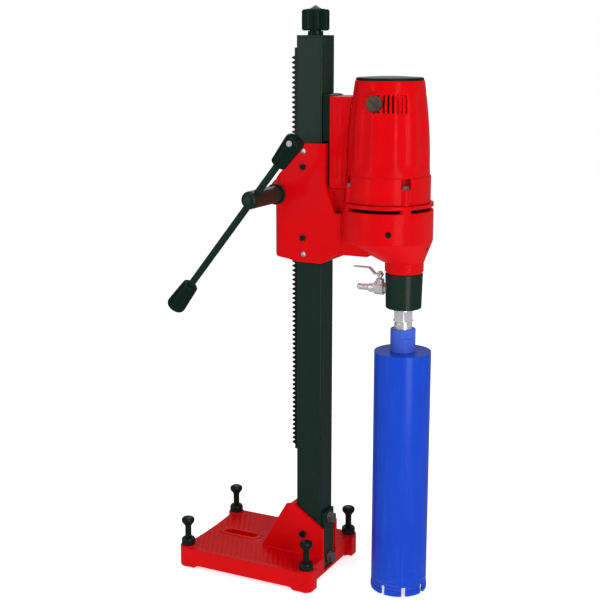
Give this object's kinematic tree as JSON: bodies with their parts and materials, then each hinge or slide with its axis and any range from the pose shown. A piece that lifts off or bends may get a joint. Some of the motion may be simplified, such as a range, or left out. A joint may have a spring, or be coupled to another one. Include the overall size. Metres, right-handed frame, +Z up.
{
  "type": "core drill rig",
  "caption": "Column-mounted core drill rig: motor head on a rack-fed carriage, levelling base, top jack, water valve and thin-walled core bit.",
  "frame": {"origin": "centre of the whole rig's bounding box in plan, on the floor that its feet stand on", "axes": "+Z up along the column; +X from the column to the core bit; -Y the side of the feed handle"},
  "size_m": [0.463, 0.254, 1.0465],
  "materials": {
    "red_paint": "gloss",
    "black_enamel": "semi-gloss",
    "black_steel": "blackened",
    "grey_steel": "machined",
    "zinc": "zinc plated",
    "bright_steel": "polished",
    "chrome_plate": "bright",
    "black_plastic": "moulded",
    "cap_metal": "satin",
    "bronze": "plain",
    "copper": "plain",
    "carbon": "dull",
    "seal_rubber": "dull",
    "guide_polymer": "dull",
    "plate_alloy": "cast",
    "blue_paint": "gloss",
    "light_blue_paint": "gloss"
  },
  "bodies": {
    "base": {"base_casting": "red_paint", "clamp_plate": "black_enamel", "clamp_bolts": "zinc", "cheek_screws": "black_steel", "lock_nuts": "black_steel", "column_tube": "black_enamel", "toothed_rack": "black_steel", "rack_screws": "black_steel", "column_cap": "black_enamel"},
    "near_rear_screw": {"screw_near_rear": "black_steel"},
    "far_rear_screw": {"screw_far_rear": "black_steel"},
    "near_front_screw": {"screw_near_front": "black_steel"},
    "far_front_screw": {"screw_far_front": "black_steel"},
    "jack": {"jack_screw": "grey_steel", "jack_knob": "black_plastic", "jack_pin": "zinc"},
    "carriage": {"carriage_housing": "red_paint", "guide_pads": "guide_polymer", "gib_screws": "bright_steel", "pad_screws": "black_steel", "feed_bushes": "bronze", "bearing_caps": "black_enamel", "gearbox_housing": "red_paint", "head_bolts": "black_steel", "oil_plug": "black_steel", "bearing_plate": "plate_alloy", "motor_housing": "red_paint", "motor_cap": "black_plastic", "motor_bolts": "zinc", "stator": "grey_steel", "shaft_bearings": "grey_steel", "carbon_brushes": "carbon", "brush_caps": "cap_metal", "switch_box": "red_paint", "switch_cover": "black_plastic", "cable_gland": "black_plastic", "water_collar": "black_enamel", "spindle_seals": "seal_rubber", "valve_body": "chrome_plate", "hose_spigot": "chrome_plate"},
    "feed_wheelwork": {"feed_shaft": "grey_steel", "feed_pinion": "grey_steel", "handle_hub": "black_enamel", "hub_pin": "zinc"},
    "handle": {"handle_bar": "black_enamel", "upper_grip": "black_plastic", "lower_grip": "black_plastic", "grip_pin": "bright_steel"},
    "rotor": {"armature": "grey_steel", "commutator": "copper", "cooling_fan": "black_plastic"},
    "lay_gears": {"lay_shaft": "grey_steel"},
    "drill": {"spindle": "chrome_plate", "spindle_gear": "grey_steel", "bit_hub": "light_blue_paint", "core_barrel": "blue_paint", "crown_segments": "blue_paint"},
    "valve": {"valve_stem": "chrome_plate", "valve_lever": "chrome_plate"},
    "switch": {"switch_rocker": "black_plastic"}
  },
  "joints": [
    {"name": "carriage_slide", "type": "slide", "parent": "base", "child": "carriage", "axis": [0, 0, 1], "range_m": [-0.42, 0.17]},
    {"name": "near_rear_level", "type": "slide", "parent": "base", "child": "near_rear_screw", "axis": [0, 0, 1], "range_m": [-0.018, 0.01]},
    {"name": "far_rear_level", "type": "slide", "parent": "base", "child": "far_rear_screw", "axis": [0, 0, 1], "range_m": [-0.018, 0.01]},
    {"name": "near_front_level", "type": "slide", "parent": "base", "child": "near_front_screw", "axis": [0, 0, 1], "range_m": [-0.018, 0.01]},
    {"name": "far_front_level", "type": "slide", "parent": "base", "child": "far_front_screw", "axis": [0, 0, 1], "range_m": [-0.018, 0.01]},
    {"name": "jack_rise", "type": "slide", "parent": "base", "child": "jack", "axis": [0, 0, 1], "range_m": [0, 0.06]},
    {"name": "feed_turn", "type": "hinge", "parent": "carriage", "child": "feed_wheelwork", "pos_m": [-0.05108, 0.0175, 0.72], "axis": [0, 1, 0], "range_deg": [-1460, 592]},
    {"name": "handle_bar_slide", "type": "slide", "parent": "feed_wheelwork", "child": "handle", "axis": [0.6225, 0, 0.7826], "range_m": [-0.058, 0.18]},
    {"name": "spindle_spin", "type": "hinge", "parent": "carriage", "child": "drill", "pos_m": [0.1797, 0.0175, 0.5], "axis": [0, 0, 1], "continuous": true},
    {"name": "lay_spin", "type": "hinge", "parent": "carriage", "child": "lay_gears", "pos_m": [0.14323, 0.05022, 0.65], "axis": [0, 0, 1], "continuous": true},
    {"name": "rotor_spin", "type": "hinge", "parent": "carriage", "child": "rotor", "pos_m": [0.1475, 0.0175, 0.8], "axis": [0, 0, 1], "continuous": true},
    {"name": "water_valve_turn", "type": "hinge", "parent": "carriage", "child": "valve", "pos_m": [0.1345, 0.0175, 0.57], "axis": [0, 0, 1], "range_deg": [0, 90]},
    {"name": "switch_rock", "type": "hinge", "parent": "carriage", "child": "switch", "pos_m": [0.0725, 0.0485, 0.86], "axis": [1, 0, 0], "range_deg": [0, 14]}
  ],
  "couplings": [
    {"joint": "feed_turn", "follows": "carriage_slide", "rad_per_m": 60.606},
    {"joint": "lay_spin", "follows": "spindle_spin", "ratio": -3.6667},
    {"joint": "rotor_spin", "follows": "spindle_spin", "ratio": 16.5}
  ]
}
